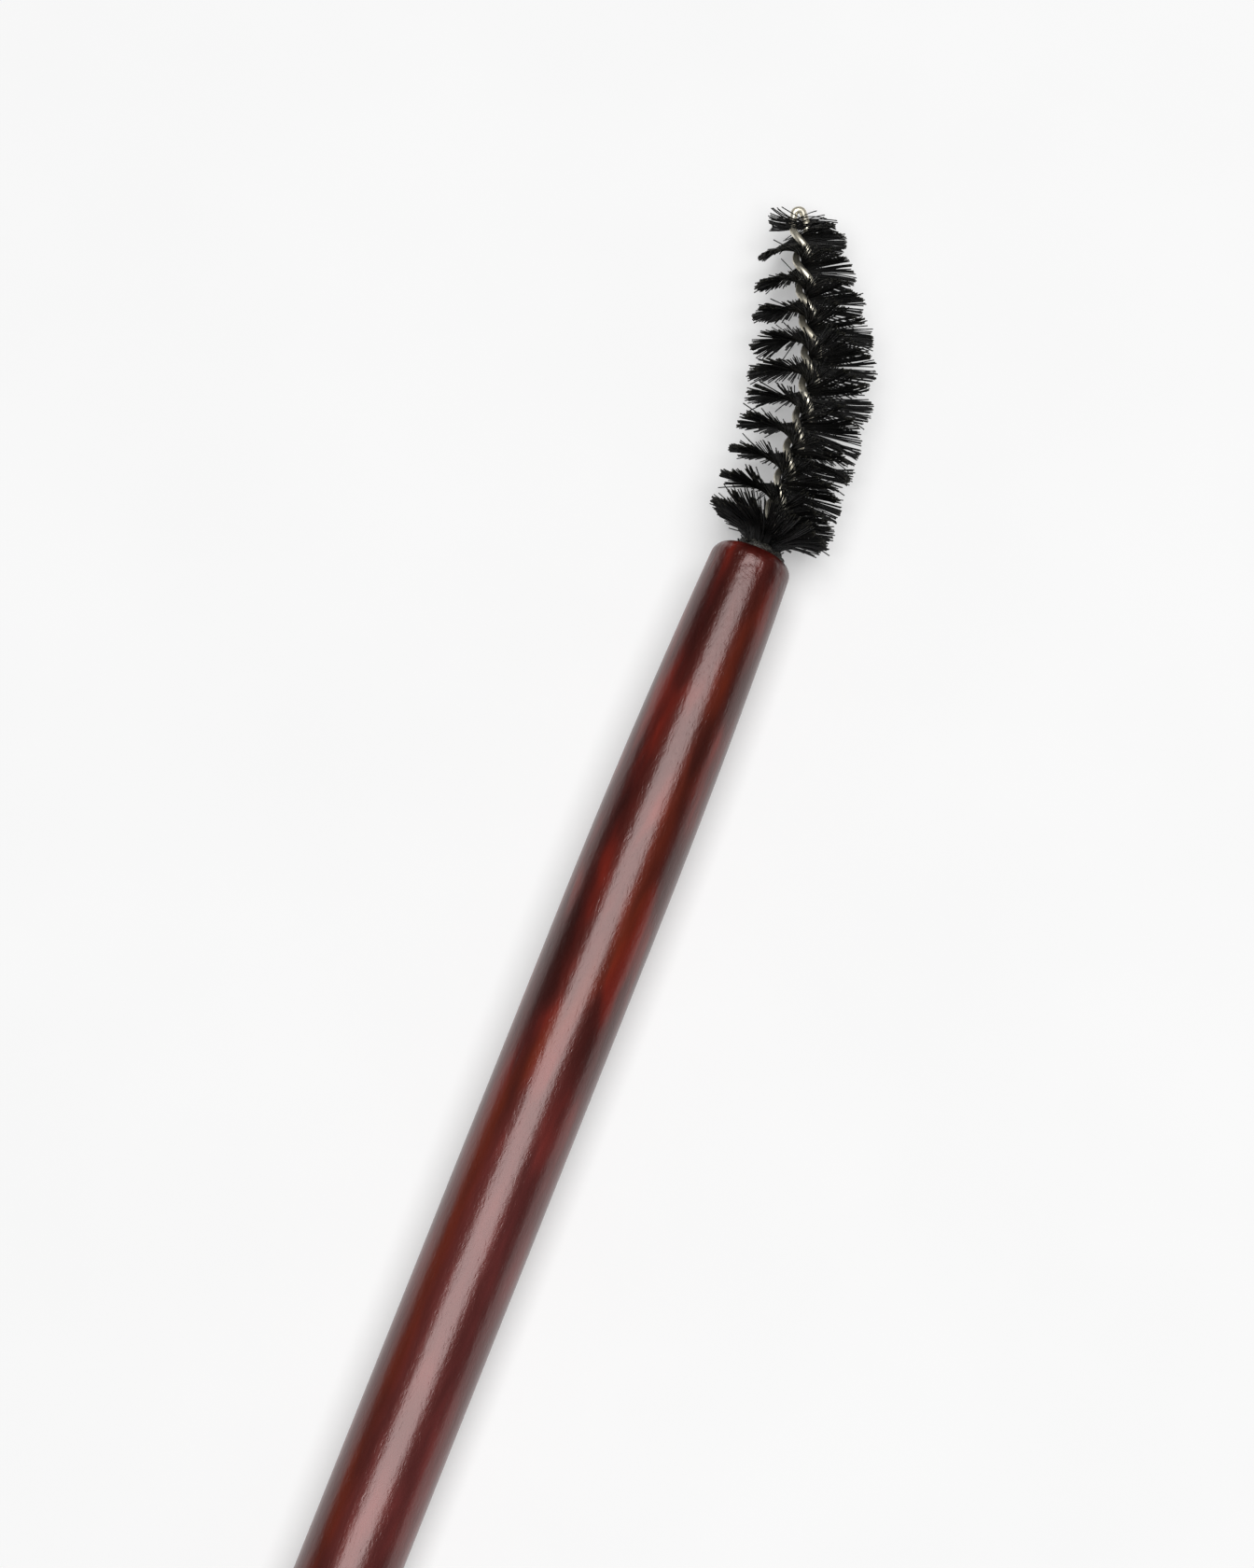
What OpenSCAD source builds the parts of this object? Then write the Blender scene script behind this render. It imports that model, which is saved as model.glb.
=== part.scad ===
// Eyebrow brush: a turned wooden handle with a twisted-wire brush head glued into its mouth.
// It is drawn as it lies on a table. +Y runs along the handle towards the head, +X is the
// right-hand side seen from above, and the table is Z = 0. The head bends towards -X.

/* [Handle] */
// Length of the wooden handle, from its rear end to its mouth
handle_l = 130; // [100:1:170]
// Diameter of the straight shank
shank_d = 7; // [6.4:0.1:8.4]
// Length of the slender nose, in front of the straight shank
nose_l = 27.5; // [15:0.5:45]
// Diameter that the nose comes down to at the mouth, before its edge is rounded
nose_d = 5.7; // [5.5:0.1:6.3]
// Radius of the rounded edge round the mouth
mouth_round = 1.05; // [0.4:0.05:1.1]
// Radius of the rounded edge at the rear end
rear_round = 1.5; // [0.5:0.1:3]

/* [Mouth] */
// Diameter of the blind bore that takes the end of the twisted wire
bore_d = 3.3; // [2.6:0.1:3.5]
// Depth of the bore
bore_depth = 13; // [9:0.5:22]
// How far the resin that fills the bore stands proud of the mouth
plug_proud = 0.7; // [0.3:0.05:1.2]
// Height of the resin where it meets the edge of the bore
plug_shoulder = 0.2; // [0.05:0.05:0.25]
// Clearance between the resin and the wood
plug_fit = 0.02; // [0.01:0.01:0.05]
// Clearance between the resin and the twisted wire
stem_fit = 0.05; // [0.02:0.01:0.1]
// How far to the right of the handle's axis the wire stands in the bore
stem_offset = 0.35; // [0:0.05:0.4]

/* [Twisted wire] */
// Diameter of the steel wire
wire_d = 0.52; // [0.4:0.01:0.6]
// Length along the wire for one full turn of its left-handed twist
twist_pitch = 4.65; // [3.6:0.05:6]
// Length of the brush head, from the mouth to the top of the hairpin
head_l = 26.2; // [22:0.1:32]
// Depth to which the twisted wire reaches inside the handle
stem_l = 11.5; // [6:0.5:12.5]
// Clearance between the wire and the filaments that it clamps
clamp_fit = 0.02; // [0.01:0.005:0.04]
// Length of the open eye under the hairpin, where the wire isn't twisted
eye_l = 0.7; // [0.4:0.1:1.2]
// Width of the gap in that eye
eye_w = 0.14; // [0.1:0.02:0.3]

/* [Bend of the head] */
// Slight lean of the head where it leaves the mouth, in degrees
mouth_lean = 5; // [0:0.1:7]
// Distance from the mouth to the start of the bend
bend_start = 10; // [4:0.5:12]
// Length of wire taken by the bend
bend_l = 7; // [4:0.5:9]
// Angle of the bend, in degrees
bend_angle = 21.5; // [6:0.5:36]

/* [Bristles] */
// Radius that the filaments reach along the full part of the head
brush_r = 4.5; // [4.3:0.1:6]
// Radius that the filaments reach at the tip of the head
brush_tip_r = 2.6; // [2:0.1:4]
// Distance from the mouth to where the head starts to taper
taper_start = 15; // [9:0.5:18]
// Number of filaments that the wire clamps
filament_count = 320; // [160:10:340]
// Thickness of the mat of filaments that holds the two strands apart
filament_t = 0.42; // [0.3:0.02:0.5]
// Thickness of the mat at its two edges, where the filaments part
mat_edge_t = 0.18; // [0.08:0.02:0.3]
// Distance from the wire out to which the filaments lie packed side by side
packed_r = 1.3; // [1:0.1:1.8]
// Width of a filament at its tip
filament_tip = 0.04; // [0.03:0.005:0.06]
// Forward lean of the filaments, in degrees
filament_lean = 0; // [0:1:12]
// How far the filaments lie askew across the wire, back on the left and forward on the right
filament_skew = 5; // [0:1:10]
// Extra forward lean of the first filaments, which the mouth pushes forwards, in degrees
mouth_sweep = 22; // [0:1:26]
// Length of head over which that extra lean fades out
sweep_l = 5; // [4.5:0.5:8]
// Most by which a filament is longer or shorter than the trimmed outline
trim_scatter = 0.12; // [0:0.01:0.2]
// Distance from the mouth to a row of filaments that lies level with the table
level_row = 2.45; // [0:0.05:4]
// How far the weight of the brush presses the lowest filaments flat against the table
table_press = 0.25; // [0.15:0.05:0.5]
// How far the brush is rolled round its handle, with the bend turned down, in degrees
rest_roll = 8; // [0:1:12]

/* [Hidden] */

WOOD = "#4a1512";
RESIN = "#17181a";
STEEL = "#b9b6ad";
NYLON = "#0c0c0d";
// Sides of the true round solids, and of the swept wire
ROUND_SIDES = 96;
WIRE_SIDES = 8;
// Rings of the swept wire in one turn of its twist, and in the half circle of its hairpin
RINGS_PER_TURN = 12;
HAIRPIN_RINGS = 8;
// Steps of the curved outlines
NOSE_STEPS = 14;
ROUND_STEPS = 8;
// Samples of the head's outline, to find the room that it takes
OUTLINE_SAMPLES = 48;
TRIM_SEED = 11;

shank_r = shank_d / 2;
nose_r = nose_d / 2;
bore_r = bore_d / 2;
wire_r = wire_d / 2;
// Distance from the middle of the twist to the middle of each strand, where it clamps filaments
strand_r = wire_r + filament_t / 2 + clamp_fit;
// Radius of the bore in the resin, wide enough for the outside of the twisted pair
stem_hole_r = strand_r + wire_r + stem_fit;
// Length of wire that takes up the slight lean at the mouth
mouth_bend_l = 1;
// The twist fades out over this length below the eye, so that its legs end up parallel
untwist_l = 0.6;
hairpin_s = head_l - 2 * wire_r - eye_w / 2;
eye_s = hairpin_s - eye_l;
bristle_start = plug_proud + 0.05;
bristle_end = eye_s;

// The route of the wire: the length and the turn, in degrees, of each stretch from the mouth on
ROUTE = [
    [plug_proud, 0],
    [mouth_bend_l, mouth_lean],
    [bend_start - mouth_bend_l - plug_proud, 0],
    [bend_l, bend_angle],
    [head_l - bend_start - bend_l, 0]
];

// Directions at a lean towards -X: along the wire, and level to its right
function ahead(lean) = [-sin(lean), cos(lean), 0];
function beside(lean) = [cos(lean), sin(lean), 0];
UP = [0, 0, 1];

// Point and lean after a length s of one stretch
function stretch_at(p, lean, l, turn, s) =
    let (bend_r = turn == 0 ? 0 : l / turn * 180 / PI)
    turn == 0 ? [p + s * ahead(lean), lean]
    : [p + bend_r * (beside(lean + turn * s / l) - beside(lean)), lean + turn * s / l];

// Point and lean at a distance s from the mouth, where a negative s lies inside the handle
function wire_at(s, k = 0, p = [stem_offset, 0, 0], lean = 0) =
    k == len(ROUTE) - 1 || s <= ROUTE[k][0]
    ? stretch_at(p, lean, ROUTE[k][0], ROUTE[k][1], s)
    : let (end = stretch_at(p, lean, ROUTE[k][0], ROUTE[k][1], ROUTE[k][0]))
      wire_at(s - ROUTE[k][0], k + 1, end[0], end[1]);

// Angle of the filaments at a distance s from the mouth, from level right towards straight up.
// It grows towards the tip, which makes the twist left-handed, and stays the same in the eye.
function twist_at(s) =
    let (
        fading = min(untwist_l, max(0, s - eye_s + untwist_l)),
        twisted = min(s, eye_s) - fading * fading / (2 * untwist_l)
    )
    360 / twist_pitch * (twisted - level_row) - rest_roll;

// Distance from the middle of the twist to the middle of each strand at a distance s from the
// mouth: over the eye the legs close in
function strand_r_at(s) =
    let (closing = min(1, max(0, s - eye_s) / eye_l))
    strand_r + (wire_r + eye_w / 2 - strand_r) * closing;

// Unit vector at an angle from level right towards straight up, across the wire
function across(lean, angle) = cos(angle) * beside(lean) + sin(angle) * UP;

// Radius of the trimmed outline at a distance s from the mouth
function outline_r(s) =
    brush_r - (brush_r - brush_tip_r) * max(0, s - taper_start) / (bristle_end - taper_start);

// Forward lean of the filaments at a distance s from the mouth
function sweep_at(s) =
    filament_lean + mouth_sweep * pow(max(0, 1 - (s - bristle_start) / sweep_l), 2);

// How the brush comes to rest: on its rear edge, and on the filaments under the end of the full
// part of the head, which the weight presses flat. A thin head stays clear of the table.
rear_s = handle_l - rear_round;
press_at = wire_at(taper_start)[0];
head_drop = brush_r - table_press - shank_r - press_at[0] * sin(rest_roll);
rest_tilt = asin(max(0, head_drop) / (rear_s + press_at[1]));
rest_z = rear_s * sin(rest_tilt) + (shank_r - rear_round) * cos(rest_tilt) + rear_round;
rest_up = [cos(rest_tilt) * sin(rest_roll), sin(rest_tilt), cos(rest_tilt) * cos(rest_roll)];

// The middle of the room that the brush takes on the table
outline_s = [for (i = [0:OUTLINE_SAMPLES])
    bristle_start + (bristle_end - bristle_start) * i / OUTLINE_SAMPLES];
left_x = min([for (s = outline_s)
    let (w = wire_at(s)) w[0][0] * cos(rest_roll) - outline_r(s) * cos(w[1])]);
right_x = max([for (s = outline_s)
    let (w = wire_at(s)) w[0][0] * cos(rest_roll) + outline_r(s) * cos(w[1])]);
front_y = max([for (s = outline_s) let (w = wire_at(s)) w[0][1] + outline_r(s) * sin(w[1])]);
middle_x = (left_x + right_x) / 2;
middle_y = (front_y - handle_l) / 2;

// Lays a shape that is drawn round the handle's axis down on the table
module at_rest() {
    translate([-middle_x, -middle_y, rest_z])
        rotate([rest_tilt, 0, 0])
            rotate([0, -rest_roll, 0])
                children();
}

// Turns a profile of radius and place along the handle into a round solid on the Y axis
module turned() {
    rotate([-90, 0, 0])
        rotate_extrude($fn = ROUND_SIDES)
            children();
}

// Quarter circle from one angle to another, round a centre
function rounding(centre, r, from, to) =
    [for (i = [0:ROUND_STEPS])
        let (a = from + (to - from) * i / ROUND_STEPS)
        centre + r * [cos(a), sin(a)]];

// Radius of the handle at a distance back from its mouth: a flat curve that meets the shank
function nose_at(back) = shank_r - (shank_r - nose_r) * pow(1 - back / nose_l, 2);

// The turned handle: rounded rear end, straight shank, slender nose, and the blind bore
module handle() {
    rim_r = nose_at(mouth_round);
    color(WOOD)
        at_rest()
            turned()
                polygon(concat(
                    [[0, -handle_l]],
                    rounding([shank_r - rear_round, rear_round - handle_l], rear_round, -90, 0),
                    [for (i = [0:NOSE_STEPS - 1])
                        let (back = nose_l + (mouth_round - nose_l) * i / NOSE_STEPS)
                        [nose_at(back), -back]],
                    rounding([rim_r - mouth_round, -mouth_round], mouth_round, 0, 90),
                    [[bore_r, 0], [bore_r, -bore_depth], [0, -bore_depth]]
                ));
}

// The hardened resin: it fills the bore round the twisted wire and ends in a low dome
module resin_plug() {
    plug_r = bore_r - plug_fit;
    foot = plug_fit - bore_depth;
    dome_h = plug_proud - plug_shoulder;
    color(RESIN)
        at_rest()
            difference() {
                turned()
                    polygon(concat(
                        [[0, foot], [plug_r, foot]],
                        [for (i = [0:ROUND_STEPS])
                            let (a = 90 * i / ROUND_STEPS)
                            [plug_r * cos(a), plug_shoulder + dome_h * sin(a)]]
                    ));
                // The hole that the twisted wire fills, all the way through
                translate([stem_offset, foot - 1, 0])
                    rotate([-90, 0, 0])
                        cylinder(r = stem_hole_r, h = plug_proud - foot + 2, $fn = ROUND_SIDES);
            }
}

// One strand of the pair at s: its middle, and its direction of travel towards the tip
function strand_at(s, side) =
    let (
        w = wire_at(s),
        next = wire_at(s + 0.01),
        middle = w[0] + strand_r_at(s) * across(w[1], twist_at(s) + side * 90),
        travel = next[0]
            + strand_r_at(s + 0.01) * across(next[1], twist_at(s + 0.01) + side * 90) - middle
    )
    [middle, travel / norm(travel)];

// Ring of points round a wire's middle, square to its travel. The reference direction starts
// the ring, so that neighbouring rings aren't turned against each other.
function wire_ring(middle, travel, reference) =
    let (
        flat = reference - (reference * travel) * travel,
        side = flat / norm(flat),
        other = cross(travel, side)
    )
    [for (i = [0:WIRE_SIDES - 1])
        let (a = 360 * i / WIRE_SIDES)
        middle + wire_r * (cos(a) * side + sin(a) * other)];

// The steel wire, bent double into a hairpin whose two legs are twisted together
module twisted_wire() {
    rings_in_leg = ceil((stem_l + hairpin_s) / twist_pitch * RINGS_PER_TURN);
    leg_s = [for (i = [0:rings_in_leg]) -stem_l + (stem_l + hairpin_s) * i / rings_in_leg];
    top = wire_at(hairpin_s);
    top_twist = twist_at(hairpin_s);
    first_leg = [for (s = leg_s)
        let (w = strand_at(s, 1)) wire_ring(w[0], w[1], across(wire_at(s)[1], top_twist))];
    // Over the hairpin, the wire travels round a half circle from one leg to the other
    hairpin = [for (i = [1:HAIRPIN_RINGS - 1])
        let (
            a = 180 * i / HAIRPIN_RINGS,
            out = across(top[1], top_twist + 90),
            middle = top[0]
                + strand_r_at(hairpin_s) * (cos(a) * out + sin(a) * ahead(top[1])),
            travel = cos(a) * ahead(top[1]) - sin(a) * out
        )
        wire_ring(middle, travel, across(top[1], top_twist))];
    second_leg = [for (i = [rings_in_leg:-1:0])
        let (w = strand_at(leg_s[i], -1))
        wire_ring(w[0], -w[1], across(wire_at(leg_s[i])[1], top_twist))];
    rings = concat(first_leg, hairpin, second_leg);
    last = len(rings) - 1;
    color(STEEL)
        at_rest()
            polyhedron(
                points = [for (ring = rings) each ring],
                faces = concat(
                    [[for (i = [0:WIRE_SIDES - 1]) i]],
                    [for (k = [0:last - 1]) for (i = [0:WIRE_SIDES - 1])
                        let (
                            a = k * WIRE_SIDES + i,
                            b = k * WIRE_SIDES + (i + 1) % WIRE_SIDES
                        )
                        each [[a, a + WIRE_SIDES, b], [b, a + WIRE_SIDES, b + WIRE_SIDES]]],
                    [[for (i = [WIRE_SIDES - 1:-1:0]) last * WIRE_SIDES + i]]
                ));
}

// Six points of the packed mat at s: right edge, middle and left edge, above and then below
function mat_ring(s) =
    let (
        w = wire_at(s),
        along = across(w[1], twist_at(s)),
        above = across(w[1], twist_at(s) + 90) / 2
    )
    [for (face = [1, -1]) for (edge = [1, 0, -1])
        w[0] + edge * packed_r * along + face * (edge == 0 ? filament_t : mat_edge_t) * above];

// Lifts a point that would lie below the table on to it
function on_table(p) = p + max(0, -rest_z - p * rest_up) * rest_up;

// Four points round the tip of the filament that points to one side at s
function tip_ring(s, side, extra) =
    let (
        w = wire_at(s),
        along = side * across(w[1], twist_at(s)),
        above = across(w[1], twist_at(s) + 90) * filament_tip / 2,
        step = ahead(w[1]) * filament_tip / 2,
        reach = outline_r(s) + extra,
        sweep = sweep_at(s) + side * filament_skew,
        tip = w[0] + reach * (cos(sweep) * along + sin(sweep) * ahead(w[1]))
    )
    [for (corner = [above - step, above + step, step - above, -step - above])
        on_table(tip + corner)];

// All the filaments. Near the wire they lie packed side by side as a twisted mat, and from its
// two edges each filament runs on by itself to the trimmed outline.
module bristles() {
    n = filament_count;
    cell = (bristle_end - bristle_start) / n;
    extra = rands(-trim_scatter, trim_scatter, 2 * n, TRIM_SEED);
    mat = [for (k = [0:n]) each mat_ring(bristle_start + cell * k)];
    tips = [for (k = [0:n - 1]) for (side = [0, 1])
        each tip_ring(bristle_start + cell * (k + 0.5), 1 - 2 * side, extra[2 * k + side])];
    // Places of a ring's points in the list: right, middle and left above, then the same below
    ring = 6;
    below = 3;
    first_tip = len(mat);
    color(NYLON)
        at_rest()
            polyhedron(
                points = concat(mat, tips),
                faces = concat(
                    [for (k = [0:n - 1]) for (i = [0, 1])
                        let (a = ring * k + i, b = a + ring)
                        each [
                            [a, a + 1, b], [a + 1, b + 1, b],
                            [a + below, b + below, a + below + 1],
                            [a + below + 1, b + below, b + below + 1]
                        ]],
                    [for (k = [0:n - 1]) for (side = [0, 1])
                        let (
                            a = ring * k + 2 * side,
                            root = [a, a + ring, a + ring + below, a + below],
                            tip = first_tip + 8 * k + 4 * side
                        )
                        each [
                            for (i = [0:3])
                                let (j = (i + 1) % 4)
                                each side == 0
                                    ? [[root[i], root[j], tip + i], [root[j], tip + j, tip + i]]
                                    : [[root[i], tip + i, root[j]], [root[j], tip + i, tip + j]],
                            each side == 0
                                ? [[tip, tip + 1, tip + 3], [tip + 1, tip + 2, tip + 3]]
                                : [[tip, tip + 3, tip + 1], [tip + 1, tip + 3, tip + 2]]
                        ]],
                    [for (i = [0, 1]) [i, i + below, i + 1 + below, i + 1]],
                    [for (i = [0, 1])
                        let (e = ring * n + i)
                        [e, e + 1, e + 1 + below, e + below]]
                ));
}

handle();
resin_plug();
twisted_wire();
bristles();
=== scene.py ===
"""Eyebrow brush: a lacquered wooden handle with a twisted-wire head of black filaments.

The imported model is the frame. Each class stands for one sub-assembly of the brush: it repeats the
sizes of the CAD source, in millimetres, builds its pieces, and dresses them in the finish of the
real material. A piece is built in the brush's own frame, with the handle's mouth at the origin and
+Y along the handle towards the head, and is then laid down on the table as the CAD model lies.
"""

import logging
import math
from dataclasses import dataclass, field
from enum import Enum
from typing import Any, Callable, Optional, Sequence, Union

import bmesh
import bpy
import numpy as np
from mathutils import Matrix, Vector, noise


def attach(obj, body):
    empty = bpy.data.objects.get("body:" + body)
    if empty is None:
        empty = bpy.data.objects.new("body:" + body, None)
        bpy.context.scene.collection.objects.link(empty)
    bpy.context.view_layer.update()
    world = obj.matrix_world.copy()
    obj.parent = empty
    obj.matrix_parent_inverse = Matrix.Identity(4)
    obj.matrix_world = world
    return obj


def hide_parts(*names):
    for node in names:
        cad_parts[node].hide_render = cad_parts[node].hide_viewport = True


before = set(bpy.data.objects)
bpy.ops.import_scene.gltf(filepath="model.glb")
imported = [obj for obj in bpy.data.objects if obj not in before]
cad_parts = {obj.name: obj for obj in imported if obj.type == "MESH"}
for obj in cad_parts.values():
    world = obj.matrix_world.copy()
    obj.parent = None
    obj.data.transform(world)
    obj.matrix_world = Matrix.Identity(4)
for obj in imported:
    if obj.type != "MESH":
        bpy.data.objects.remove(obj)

LOG = logging.getLogger("eyebrow_brush")
MM = 0.001
UP = np.array([0.0, 0.0, 1.0])
ROOT_BODY = "root"

Tree = bpy.types.NodeTree
Socket = bpy.types.NodeSocket
Pair = tuple[float, float]
Triple = tuple[float, float, float]


class Slot(Enum):
    """The record's material slots."""

    WOOD = "lacquered_wood"
    RESIN = "black_resin"
    STEEL = "bright_steel"
    NYLON = "black_nylon"


class Side(Enum):
    """The two arms of a filament that the wire clamps in its middle."""

    RIGHT = 1.0
    LEFT = -1.0


def linear(code: str) -> tuple[float, float, float, float]:
    """Turns an sRGB hex colour into linear RGBA.

    Args:
        code: The colour, such as "#551c10".

    Returns:
        Red, green, blue and an alpha of 1.
    """
    parts = [int(code[i:i + 2], 16) / 255 for i in (1, 3, 5)]
    r, g, b = (p / 12.92 if p <= 0.04045 else ((p + 0.055) / 1.055) ** 2.4 for p in parts)
    return (r, g, b, 1.0)


def feed(tree: Tree, node: bpy.types.Node, inputs: dict) -> None:
    """Sets or links the inputs of a node.

    Args:
        tree: The tree that holds the node.
        node: The node.
        inputs: A value or an output to link for each input, by identifier, name or place.
    """
    for key, value in inputs.items():
        socket = node.inputs[key] if isinstance(key, int) else next(
            s for s in node.inputs if s.enabled and key in (s.identifier, s.name))
        if isinstance(value, Socket):
            tree.links.new(value, socket)
        else:
            socket.default_value = value


def add_node(tree: Tree, kind: str, inputs: Optional[dict] = None, **settings: Any
             ) -> bpy.types.Node:
    """Adds one node with its settings and links.

    Args:
        tree: The tree that gets the node.
        kind: Blender's name for the kind of node.
        inputs: A value or an output to link for each input.
        **settings: The node's own properties.

    Returns:
        The new node.
    """
    node = tree.nodes.new(kind)
    for name, value in settings.items():
        setattr(node, name, value)
    feed(tree, node, inputs or {})
    return node


def add_maths(tree: Tree, operation: str, *values: Union[float, Socket]) -> Socket:
    """Adds a maths node with a number or an output for each input, and gives its result."""
    return add_node(tree, "ShaderNodeMath", dict(enumerate(values)),
                    operation=operation).outputs[0]


def add_range(tree: Tree, value: Socket, source: Pair,
              target: tuple[float, Union[float, Socket]] = (0.0, 1.0),
              smooth: bool = False) -> Socket:
    """Adds a node that carries one range over to another and holds it at both ends.

    Args:
        tree: The tree that gets the node.
        value: What is carried over.
        source: The ends of its own range.
        target: The ends of the new range.
        smooth: Whether it eases in and out.

    Returns:
        The value in the new range.
    """
    return add_node(tree, "ShaderNodeMapRange",
                    {"Value": value, "From Min": source[0], "From Max": source[1],
                     "To Min": target[0], "To Max": target[1]},
                    interpolation_type="SMOOTHSTEP" if smooth else "LINEAR").outputs["Result"]


def add_noise(tree: Tree, place: Socket, per_unit: float, detail: float) -> Socket:
    """Adds a noise pattern from 0 to 1, with a number of finer layers."""
    return add_node(tree, "ShaderNodeTexNoise",
                    {"Vector": place, "Scale": per_unit, "Detail": detail}).outputs["Fac"]


def add_ramp(tree: Tree, value: Socket, *stops: tuple[float, str]) -> Socket:
    """Adds a colour ramp.

    Args:
        tree: The tree that gets the node.
        value: What picks the colour, from 0 to 1.
        *stops: The place and the hex colour of each stop, in order.

    Returns:
        The colour.
    """
    node = add_node(tree, "ShaderNodeValToRGB", {"Fac": value})
    elements = node.color_ramp.elements
    while len(elements) < len(stops):
        elements.new(0.5)
    for element, (place, code) in zip(elements, stops):
        element.position = place
        element.color = linear(code)
    return node.outputs["Color"]


def add_mix(tree: Tree, share: Socket, base: Socket, code: str) -> Socket:
    """Mixes a share of one more hex colour into a colour."""
    return add_node(tree, "ShaderNodeMix",
                    {"Factor_Float": share, "A_Color": base, "B_Color": linear(code)},
                    data_type="RGBA").outputs[2]


def add_bump(tree: Tree, height: Socket, depth: float) -> Socket:
    """Turns a pattern of heights from 0 to 1 into relief of a depth in metres."""
    return add_node(tree, "ShaderNodeBump", {"Height": height, "Distance": depth}).outputs[0]


def new_material(name: str) -> tuple[bpy.types.Material, Tree, bpy.types.Node, Socket]:
    """Makes a material with a single Principled shader.

    Args:
        name: The material's name.

    Returns:
        The material, its node tree, its shader, and object coordinates in metres.
    """
    material = bpy.data.materials.new(name)
    material.use_nodes = True
    tree = material.node_tree
    place = add_node(tree, "ShaderNodeTexCoord").outputs["Object"]
    return material, tree, tree.nodes["Principled BSDF"], place


@dataclass(frozen=True)
class LacqueredMahogany:
    """Mahogany, turned, stained dark red-brown and dipped in satin lacquer.

    The stain takes unevenly, so warm streaks and wine-dark patches run along the grain. Open
    pores and raised fibres show through the thin lacquer as short dashes that break the edges of
    the long soft highlight.
    """

    # The stain in its darkest patches, between them and in its warmest ones
    stains: tuple[str, str, str] = ("#2d0705", "#3e0e0a", "#5c150b")
    stain_stops: Triple = (0.36, 0.5, 0.64)
    # Towards the rear the stain is thinner, and the wood under it paler
    thin_stain: str = "#532424"
    thin_share: float = 0.75
    thinning: Pair = (0.022, 0.0)
    # One broad streak took less stain and glows orange. It runs on the right behind the mouth,
    # and crosses over to the left further back, as the grain winds round the handle.
    streak_stain: str = "#571b06"
    streak_shares: Pair = (0.2, 0.8)
    streak_frays: Pair = (0.3, 0.55)
    streak_starts: Pair = (0.0505, 0.0465)
    streak_turns: Pair = (0.006, 0.024)
    streak_places: Pair = (-0.0004, 0.0032)
    streak_w: float = 0.0012
    # Stain patches lie about 2 mm apart across the grain and 8 mm along it
    patch_per_m: Triple = (520.0, 120.0, 520.0)
    patch_range: Pair = (0.35, 0.65)
    patch_shades: Pair = (0.76, 1.2)
    # Fine streaks lie about 0.7 mm apart across the grain and 5.5 mm along it
    fleck_per_m: Triple = (1500.0, 180.0, 1500.0)
    fleck_range: Pair = (0.3, 0.7)
    fleck_shades: Pair = (0.86, 1.12)
    # The lacquer lies in ripples 0.3 mm wide and 1 mm long, and sinks into pores 0.14 mm wide
    ripple_per_m: Triple = (3200.0, 1000.0, 3200.0)
    ripple: float = 0.000016
    pore_per_m: Triple = (7000.0, 2200.0, 7000.0)
    pore_range: Pair = (0.55, 0.8)
    pore_depth: float = 0.35
    # Behind the mouth the lacquer pulled into wrinkles, 0.25 mm apart
    wrinkle_per_m: Triple = (2000.0, 2600.0, 2000.0)
    wrinkle_middle: float = 0.5
    wrinkle_h: float = 0.06
    wrinkle_depth: float = 5.0
    wrinkled: Pair = (0.0488, 0.0515)
    # A thin coat of a dense lacquer: it shines straight on, and its rims stay dark
    lacquer_share: float = 0.5
    lacquer_roughness: float = 0.24
    lacquer_ior: float = 1.85
    # Under it the stained wood shines softly in its own red
    glow_roughness: float = 0.45
    glow: str = "#ff7258"

    def grain(self, tree: Tree, place: Socket, per_m: Triple, detail: float) -> Socket:
        """Adds one noise pattern, stretched along the grain.

        Args:
            tree: The material's tree.
            place: Object coordinates in metres.
            per_m: Features in a metre, across, along and up.
            detail: Number of finer layers.

        Returns:
            The pattern, from 0 to 1.
        """
        scaled = add_node(tree, "ShaderNodeVectorMath", {0: place, 1: per_m},
                          operation="MULTIPLY").outputs[0]
        return add_noise(tree, scaled, 1.0, detail)

    def warm_streak(self, tree: Tree, across: Socket, along: Socket, patch: Socket) -> Socket:
        """Adds the share of the orange streak at each place.

        Args:
            tree: The material's tree.
            across: The place across the handle.
            along: The place along the handle.
            patch: The stain's patches, which fray the streak.

        Returns:
            The share, from 0 to 1.
        """
        middle = add_range(tree, along, self.streak_turns, self.streak_places, smooth=True)
        off = add_maths(tree, "ABSOLUTE", add_maths(tree, "SUBTRACT", across, middle))
        share = add_range(tree, off, (0.0, self.streak_w), (1.0, 0.0), smooth=True)
        frayed = add_range(tree, patch, self.streak_frays, self.streak_shares)
        begun = add_range(tree, along, self.streak_starts, (0.0, frayed))
        return add_maths(tree, "MULTIPLY", share, begun)

    def colour(self, tree: Tree, place: Socket, across: Socket, along: Socket) -> Socket:
        """Adds the colour of the stained wood.

        Args:
            tree: The material's tree.
            place: Object coordinates in metres.
            across: The place across the handle.
            along: The place along the handle.

        Returns:
            The colour.
        """
        patch = self.grain(tree, place, self.patch_per_m, 2.0)
        fleck = self.grain(tree, place, self.fleck_per_m, 3.0)
        stain = add_ramp(tree, patch, *zip(self.stain_stops, self.stains))
        thin = add_range(tree, along, self.thinning, (0.0, self.thin_share), smooth=True)
        thinned = add_mix(tree, thin, stain, self.thin_stain)
        streak = self.warm_streak(tree, across, along, patch)
        streaked = add_mix(tree, streak, thinned, self.streak_stain)
        shades = add_maths(tree, "MULTIPLY",
                           add_range(tree, fleck, self.fleck_range, self.fleck_shades),
                           add_range(tree, patch, self.patch_range, self.patch_shades))
        return add_node(tree, "ShaderNodeVectorMath", {0: streaked, 1: shades},
                        operation="MULTIPLY").outputs[0]

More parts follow.
